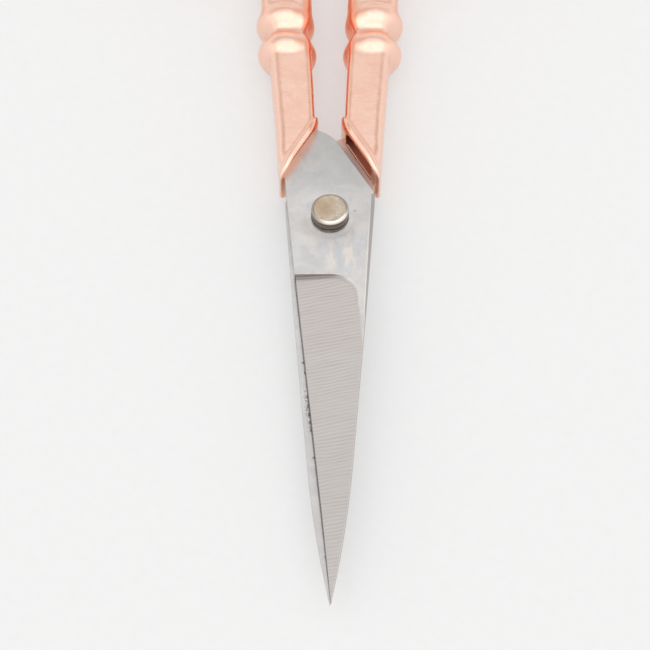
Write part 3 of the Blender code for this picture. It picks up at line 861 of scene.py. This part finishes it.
def rose_gold(name, seed):
    """Copper plate on a casting: soft mottling, faint waves, a satin grain, with painted light on it: painted
    shade on the end face and in its hollow, painted bounce light on the sides turned to the other handle, and
    painted light on the outer corner and the outer sides.
    """
    s = Shade(name)
    shifted = s.mapped(s.place, shift=(seed, seed * 0.7, seed * 1.3))
    cloud = s.noise(shifted, 0.55, 3.0, 0.55, 0.4)
    speckle = s.noise(shifted, 1.9, 3.0, 0.6)
    colour = s.mix(s.ramp(cloud, 0.35, 0.68), (0.935, 0.605, 0.48), (0.96, 0.66, 0.54))
    colour = s.mix(s.ramp(speckle, 0.52, 0.72, 0.0, 0.55), colour, (0.98, 0.75, 0.645))

    # Painted light by facing: painted shade on the end face, painted light on its outer corner, painted
    # bounce light on the sides turned to the other handle, and painted light on the sides turned away from it
    forward = (MITRE_NORMAL[0], MITRE_NORMAL[1], 0.0)
    towards = s.put("ShaderNodeVectorMath", {0: s.facing, 1: forward}, operation="DOT_PRODUCT")
    towards = towards.outputs["Value"]
    cheek = s.times(s.ramp(towards, 0.35, 0.6), s.ramp(s.x, -4.55, -4.8))
    # painted shade: the faces turned forward, the end faces, get a darker, redder copper
    colour = s.mix(s.ramp(towards, 0.90, 0.98), colour, (0.90, 0.49, 0.37))
    # painted light: the end's outer corner gets a paler copper; its raised roughness below is the finish
    colour = s.mix(cheek, colour, (1.0, 0.78, 0.68))
    # painted bounce light: the sides turned to the other handle get a deeper orange, the beads' sides most
    colour = s.mix(s.ramp(s.facing_x, 0.25, 0.8), colour, (0.98, 0.53, 0.375))
    from_beads = s.math("ABSOLUTE", s.math("SUBTRACT", s.y, NODE_Y))
    by_bead = s.ramp(from_beads, 3.4, 5.0, 1.0, 0.0)
    colour = s.mix(s.times(by_bead, s.ramp(s.facing_x, 0.15, 0.6)), colour, (0.98, 0.42, 0.27))
    # painted light: the sides turned away from the other handle get a paler copper
    colour = s.mix(s.ramp(s.facing_x, -0.25, -0.8), colour, (0.965, 0.65, 0.525))
    hollow = s.attribute("hollow")
    # painted shade: the recess in the end is darkened
    colour = s.mix(hollow, colour, (0.62, 0.28, 0.20))

    roughness = s.math("ADD", s.ramp(cloud, 0.3, 0.7, 0.18, 0.26), s.ramp(s.y, 8.0, 23.0, 0.0, 0.10))
    roughness = s.lerp(s.math("MAXIMUM", hollow, cheek), roughness, 0.5)
    normal = s.bump(s.noise(shifted, 0.8, 2.0, 0.5), 0.035)
    normal = s.bump(s.noise(shifted, 9.0, 2.0, 0.55), 0.0006, normal)
    return s.done(colour, roughness, normal)


def flat_steel(s, shifted, cloud, seed):
    """The flats: clouds, warm and cool blotches, and a streaky patch in front of the rivet."""
    blotch = s.noise(s.mapped(shifted, scale=(1.0, 0.55, 1.0), turn=(0, 0, 0.6)), 0.9, 3.0, 0.6)
    colour = s.mix(s.ramp(cloud, 0.36, 0.66), (0.64, 0.635, 0.63), (0.725, 0.72, 0.71))
    colour = s.mix(s.ramp(blotch, 0.56, 0.72, 0.0, 0.5), colour, (0.72, 0.675, 0.64))
    colour = s.mix(s.ramp(blotch, 0.44, 0.30, 0.0, 0.5), colour, (0.55, 0.57, 0.62))
    tinted_zone = s.spot((1.9, -4.4, BLADE_TOP), 1.6, 2.4)
    stretched = s.mapped(s.place, scale=(1.3, 0.45, 1.0), turn=(0, 0, 0.62), shift=(seed, 0, 0))
    streaks = s.noise(stretched, 1.0, 4.0, 0.65)
    warm = s.times(tinted_zone, s.ramp(streaks, 0.50, 0.62, 0.0, 0.75))
    cool = s.times(tinted_zone, s.ramp(streaks, 0.46, 0.36, 0.0, 0.8))
    return s.mix(cool, s.mix(warm, colour, (0.84, 0.775, 0.72)), (0.60, 0.63, 0.70))


def grinding_marks(s, shifted, seed):
    """Heights of the regular ridges, the fine lines and the broad bands across the ground face."""
    tilted = s.mapped(s.place, turn=(0, 0, GRIND_MARK_TILT))
    drift = s.noise(s.mapped(tilted, scale=(0.25, 0.5, 0.5)), 1.0, 2.0)
    phase = s.times(s.axes(tilted)[1], 2 * math.pi / GRIND_MARK_PITCH)
    wave = s.math("SINE", s.math("ADD", phase, s.times(drift, 9.0)))
    strength = s.ramp(s.noise(shifted, 0.32, 2.0), 0.36, 0.6, 0.4, 1.0)
    ridges = s.ramp(s.times(wave, strength), -1.0, 1.0)
    fine = s.noise(s.mapped(tilted, scale=(0.35, 8.0, 1.0), shift=(seed, 0, 0)), 1.0, 2.0, 0.5)
    broad = s.noise(s.mapped(tilted, scale=(0.2, 1.1, 0.5), shift=(0, seed, 0)), 1.0, 2.0, 0.5)
    return ridges, fine, broad


def ground_steel(s, ridges, fine, broad):
    light = (0.67, 0.64, 0.62)
    colour = s.mix(ridges, (0.53, 0.497, 0.477), (0.632, 0.60, 0.58))
    colour = s.mix(s.ramp(fine, 0.35, 0.65, 0.0, 0.36), colour, light)
    colour = s.mix(s.ramp(broad, 0.35, 0.65, 0.0, 0.25), colour, light)
    return s.mix(s.ramp(s.y, -8.0, -44.0, 0.08, 0.30), colour, (0.31, 0.295, 0.28))


def steel_corners(s, colour):
    """Side walls, the chamfer in painted shade with a painted highlight along its corner, painted shade at
    the grind's step, and the sharpened edge.
    """
    wall = s.ramp(s.math("ABSOLUTE", s.facing_z), 0.30, 0.45, 1.0, 0.0)
    colour = s.mix(wall, colour, (0.60, 0.57, 0.55))
    # painted shade: the chamfer, picked out by the way it faces, is darkened
    chamfer = s.times(s.ramp(s.facing_x, 0.35, 0.55), s.ramp(s.z, 0.2, 0.4), 0.85)
    colour = s.mix(chamfer, colour, (0.40, 0.375, 0.36))
    # painted highlight: a near-white line along the corner between the flat and the chamfer, weaker towards
    # the handle
    arris = s.times(s.ramp(s.facing_x, 0.04, 0.15), s.ramp(s.facing_x, 0.34, 0.46, 1.0, 0.0))
    arris = s.times(arris, s.ramp(s.y, 0.0, 2.5, 0.8, 0.25))
    colour = s.mix(arris, colour, (0.93, 0.91, 0.88))
    # painted shade: the crease at the grind's step is darkened
    colour = s.mix(s.times(s.attribute("step"), 0.8), colour, (0.30, 0.275, 0.26))
    return s.mix(s.times(s.attribute("bevel"), 0.9), colour, (0.13, 0.10, 0.10))


def steel_tones_and_wear(s, colour, mating):
    """Darker towards the handles, warmer at the tip's mating face, nicks by the edge and one pit."""
    grey = (0.30, 0.30, 0.30)
    # Greyer towards the handles, and on the spine side in front of the rivet
    colour = s.mix(s.ramp(s.y, 1.0, 8.5, 0.0, 0.36), colour, grey)
    spine_side = s.times(s.ramp(s.x, -2.0, 4.5, 0.0, 0.14), s.ramp(s.y, -6.0, -1.0))
    colour = s.mix(spine_side, colour, grey)
    colour = s.mix(s.times(mating, s.ramp(s.y, -16.0, -34.0, 0.0, 0.16)), colour, (0.33, 0.25, 0.24))

    # Nicks lie along the line where the other blade's edge rests at rest.
    lean = (EDGE_START[0] - TIP[0]) / (EDGE_START[1] - TIP[1])
    from_edge = s.math("ADD", s.x, s.times(s.math("SUBTRACT", s.y, TIP[1]), lean))
    from_middle = s.math("SUBTRACT", s.y, NICKS_Y)
    near_edge = s.ramp(s.math("ABSOLUTE", from_edge), 0.15, 0.5, 1.0, 0.0)
    near_middle = s.ramp(s.math("ABSOLUTE", from_middle), 2.0, 3.2, 1.0, 0.0)
    nicks = s.ramp(s.noise(s.place, 8.0, 2.0, 0.6), 0.53, 0.60)
    colour = s.mix(s.times(mating, near_edge, near_middle, nicks), colour, (0.16, 0.11, 0.10))
    pit = s.times(s.spot((2.72, 0.9, BLADE_TOP), 0.07, 0.12), 0.45)
    return s.mix(pit, colour, (0.16, 0.15, 0.14))


def blade_steel(name, seed):
    """Satin steel: cloudy flats, cross-ground bevel, dark sharpened edge."""
    s = Shade(name)
    ground = s.attribute("ground")
    shifted = s.mapped(s.place, shift=(seed, seed * 0.6, seed))
    cloud = s.noise(shifted, 0.42, 4.0, 0.6, 0.6)
    ridges, fine, broad = grinding_marks(s, shifted, seed)
    mating = s.ramp(s.z, 0.1, 0.2, 1.0, 0.0)
    colour = s.mix(ground, flat_steel(s, shifted, cloud, seed), ground_steel(s, ridges, fine, broad))
    colour = steel_tones_and_wear(s, steel_corners(s, colour), mating)

    # By the mitre the mating face is tinted pink: painted reflection of the copper face, together with
    # plating overspray. In front of the rivet the flat is bright: a scuffed ring with painted light on it.
    along_normal = s.math("ADD", s.times(s.x, MITRE_NORMAL[0]), s.times(s.y, MITRE_NORMAL[1]))
    at_mitre = MITRE_POINT[0] * MITRE_NORMAL[0] + MITRE_POINT[1] * MITRE_NORMAL[1]
    overspray_and_copper_reflection = s.times(s.ramp(s.math("SUBTRACT", along_normal, at_mitre), 0.5, 1.3, 1.0, 0.0), mating)
    colour = s.mix(s.times(overspray_and_copper_reflection, 0.85), colour, (0.76, 0.63, 0.58))
    away = s.put("ShaderNodeVectorMath", {0: s.place}, operation="LENGTH").outputs["Value"]
    in_front = s.ramp(s.y, 1.2, -0.6)
    # painted light: a scuffed ring in front of the rivet made near white, against the shade that the rivet's
    # reflection leaves on the flat
    halo = s.times(s.ramp(away, 2.0, 2.3), s.ramp(away, 2.5, 3.2, 1.0, 0.0), in_front)
    halo = s.times(halo, s.ramp(s.z, 1.3, 1.5), s.ramp(cloud, 0.25, 0.55, 0.4, 0.85))
    colour = s.mix(halo, colour, (1.0, 0.99, 0.97))

    matt = 0.62
    roughness = s.lerp(ground, s.ramp(cloud, 0.3, 0.7, 0.27, 0.36), s.ramp(fine, 0.3, 0.7, 0.30, 0.40))
    calm = s.times(s.ramp(away, 3.4, 4.8, 1.0, 0.0), in_front)
    roughness = s.lerp(s.math("MAXIMUM", calm, overspray_and_copper_reflection), roughness, matt)
    roughness = s.lerp(s.attribute("step"), roughness, matt)

    scuffs = s.noise(s.mapped(shifted, scale=(0.5, 6.0, 1.0), turn=(0, 0, 0.9)), 1.2, 2.0, 0.5)
    scuffs = s.times(s.ramp(scuffs, 0.62, 0.72), s.math("SUBTRACT", 1.0, ground))
    normal = s.bump(s.noise(shifted, 0.7, 2.0), 0.004)
    normal = s.bump(scuffs, 0.0014, normal)
    normal = s.bump(s.times(ridges, ground), 0.0035, normal)
    normal = s.bump(s.times(fine, ground), 0.0022, normal)
    return s.done(colour, roughness, normal)


def rivet_metal(name):
    """Worn nickel over brass: mottled brown on top, a smoother rim polished by use with painted shade and, on
    its lower right, a painted highlight, and a side wall darkened by oxide and painted shade.
    """
    s = Shade(name)
    cloud = s.noise(s.place, 1.1, 4.0, 0.62, 0.8)
    grains = s.noise(s.place, 6.0, 3.0, 0.6)
    colour = s.mix(s.ramp(cloud, 0.38, 0.62), (0.52, 0.425, 0.31), (0.68, 0.61, 0.515))
    colour = s.mix(s.ramp(grains, 0.5, 0.7, 0.0, 0.4), colour, (0.68, 0.64, 0.57))
    heart = s.spot((-0.7, 0.2, HEAD_TOP), 0.6, 1.3)
    colour = s.mix(s.times(heart, 0.8), colour, (0.50, 0.375, 0.26))
    # The rim: its colour carries painted shade and, on the lower right, a painted highlight; its lower
    # roughness is the polish of use
    tinted_zone = s.times(s.ramp(s.facing_z, 0.20, 0.45), s.ramp(s.facing_z, 0.95, 0.998, 1.0, 0.0))
    lit_side = s.ramp(s.math("SUBTRACT", s.times(s.x, 0.5), s.y), 0.6, 2.0)
    colour = s.mix(s.times(tinted_zone, 0.85), colour, (0.36, 0.325, 0.29))
    colour = s.mix(s.times(tinted_zone, lit_side), colour, (0.80, 0.765, 0.70))
    # The side wall: dark oxide together with painted shade
    side = s.ramp(s.facing_z, 0.10, 0.32, 1.0, 0.0)
    colour = s.mix(s.times(side, 0.95), colour, (0.12, 0.10, 0.086))
    roughness = s.lerp(tinted_zone, s.ramp(cloud, 0.3, 0.7, 0.26, 0.38), 0.17)
    normal = s.bump(s.noise(s.place, 2.2, 2.0), 0.02)
    normal = s.bump(grains, 0.004, normal)
    return s.done(colour, roughness, normal)


def washer_metal(name):
    """Turned steel, dark, and darkened further as painted shade under the rivet's head."""
    s = Shade(name)
    cloud = s.noise(s.place, 2.0, 3.0)
    turned = s.noise(s.mapped(s.place, scale=(0.3, 0.3, 14.0)), 1.0, 2.0)
    colour = s.mix(s.ramp(cloud, 0.35, 0.65), (0.10, 0.085, 0.075), (0.17, 0.15, 0.135))
    return s.done(colour, s.ramp(cloud, 0.3, 0.7, 0.30, 0.42), s.bump(turned, 0.004))


def paper_white(name):
    """The pale floor, which also gives off some light of its own."""
    s = Shade(name)
    fibre = s.noise(s.place, 0.9, 3.0, 0.6)
    colour = s.mix(s.ramp(fibre, 0.3, 0.7), (0.392, 0.401, 0.406), (0.402, 0.411, 0.416))
    s.shader.inputs["Specular IOR Level"].default_value = 0.1
    s.shader.inputs["Emission Color"].default_value = (1.0, 1.0, 1.0, 1.0)
    s.shader.inputs["Emission Strength"].default_value = 0.42
    return s.done(colour, 0.9, s.bump(fibre, 0.004), metallic=0.0)


# ---------------------------------------------------------------- set


def rise(degrees):
    """The height on a sphere of radius 1 at an angle above the horizon."""
    return math.sin(math.radians(degrees))


def studio_sky():
    """A white tent: a bright low wall, a dim warm seam above it, a roof, and a panel on the near side."""
    world = bpy.data.worlds.new("studio")
    bpy.context.scene.world = world
    world.use_nodes = True
    sky = Nodes(world.node_tree)
    _, along, height = sky.axes(sky.put("ShaderNodeTexCoord", {}).outputs["Generated"])
    low_wall = sky.ramp(height, rise(14), rise(38), 0.98, 0.65)
    roof = sky.ramp(height, rise(44.5), rise(49), 0.0, 0.34)
    near_side = sky.ramp(along, 0.10, 0.40, 1.0, 0.0)
    panel = sky.times(near_side, sky.ramp(height, 0.28, 0.50, 0.0, 0.52), PANEL_GAIN)
    light = sky.math("ADD", sky.math("ADD", low_wall, roof), panel)
    seam = sky.times(sky.ramp(height, rise(24), rise(36)), sky.ramp(height, rise(44), rise(49), 1.0, 0.0))
    background = sky.tree.nodes["Background"]
    sky.feed(background.inputs["Strength"], light)
    sky.feed(background.inputs["Color"], sky.mix(seam, (1.0, 1.0, 1.0), (1.06, 0.93, 0.86)))


def add_camera():
    """The photograph's view: straight across the long axis, from above the tips."""
    elevation = math.radians(CAMERA_ELEVATION)
    back = Vector((0.0, -math.cos(elevation), math.sin(elevation)))
    data = bpy.data.cameras.new("camera")
    data.sensor_width = SENSOR
    data.lens = LENS
    data.clip_start = 0.01
    data.clip_end = 20.0
    camera = bpy.data.objects.new("camera", data)
    bpy.context.scene.collection.objects.link(camera)
    camera.location = (Vector(AIM) + back * AIM_DISTANCE) * MM
    camera.rotation_euler = (math.pi / 2 - elevation, 0.0, 0.0)
    bpy.context.scene.camera = camera


def add_floor():
    """A pale sheet just under the lowest point of the CAD box."""
    size = 1500.0
    top = CAD_BOX[0][2] / MM - 0.015
    points = [(-size, -size, top), (size, -size, top), (size, size, top), (-size, size, top)]
    floor = new_mesh_object("floor", points, [(0, 1, 2, 3)])
    floor.data.materials.append(paper_white("floor_paper"))


# ---------------------------------------------------------------- putting it together


def half_places():
    """Where the two halves' own frames lie: the parting plane is midway up the handle."""
    pivot = Vector(frame["joints"][0]["pos_m"])
    low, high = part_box("upper_handle")
    parting = (low.z + high.z) / 2
    upright = Matrix.Translation((pivot.x, pivot.y, parting))
    return upright, upright @ Matrix.Rotation(math.pi, 4, "Y")


def fit(piece, place, material, body, node):
    """Puts a piece in its half, gives it its material, and has it stand for its CAD node."""
    piece.matrix_world = place
    piece.data.materials.clear()
    piece.data.materials.append(material)
    bpy.context.view_layer.update()
    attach(piece, body)
    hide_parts(node)


def copy_of(piece, name):
    twin = bpy.data.objects.new(name, piece.data.copy())
    twin.data.name = name
    bpy.context.scene.collection.objects.link(twin)
    return twin


def main():
    upright, turned_over = half_places()
    handle = handle_piece("upper_handle_casting")
    other = copy_of(handle, "lower_handle_casting")
    fit(handle, upright, rose_gold("rose_gold_upper", 3.0), "upper_half", "upper_handle")
    fit(other, turned_over, rose_gold("rose_gold_lower", 41.0), "lower_half", "lower_handle")
    blade = blade_piece("upper_blade_ground")
    under = copy_of(blade, "lower_blade_ground")
    fit(blade, upright, blade_steel("steel_upper", 5.0), "upper_half", "upper_blade")
    fit(under, turned_over, blade_steel("steel_lower", 27.0), "lower_half", "lower_blade")
    rivet = rivet_piece("rivet_peened")
    fit(rivet, upright, rivet_metal("nickel_worn"), "lower_half", "pivot_rivet")
    washer = washer_piece("washer_turned")
    fit(washer, upright, washer_metal("washer_dark"), "lower_half", "pivot_washer")
    add_floor()
    add_camera()
    studio_sky()
    view = bpy.context.scene.view_settings
    view.view_transform = "Standard"
    view.look = "None"


main()
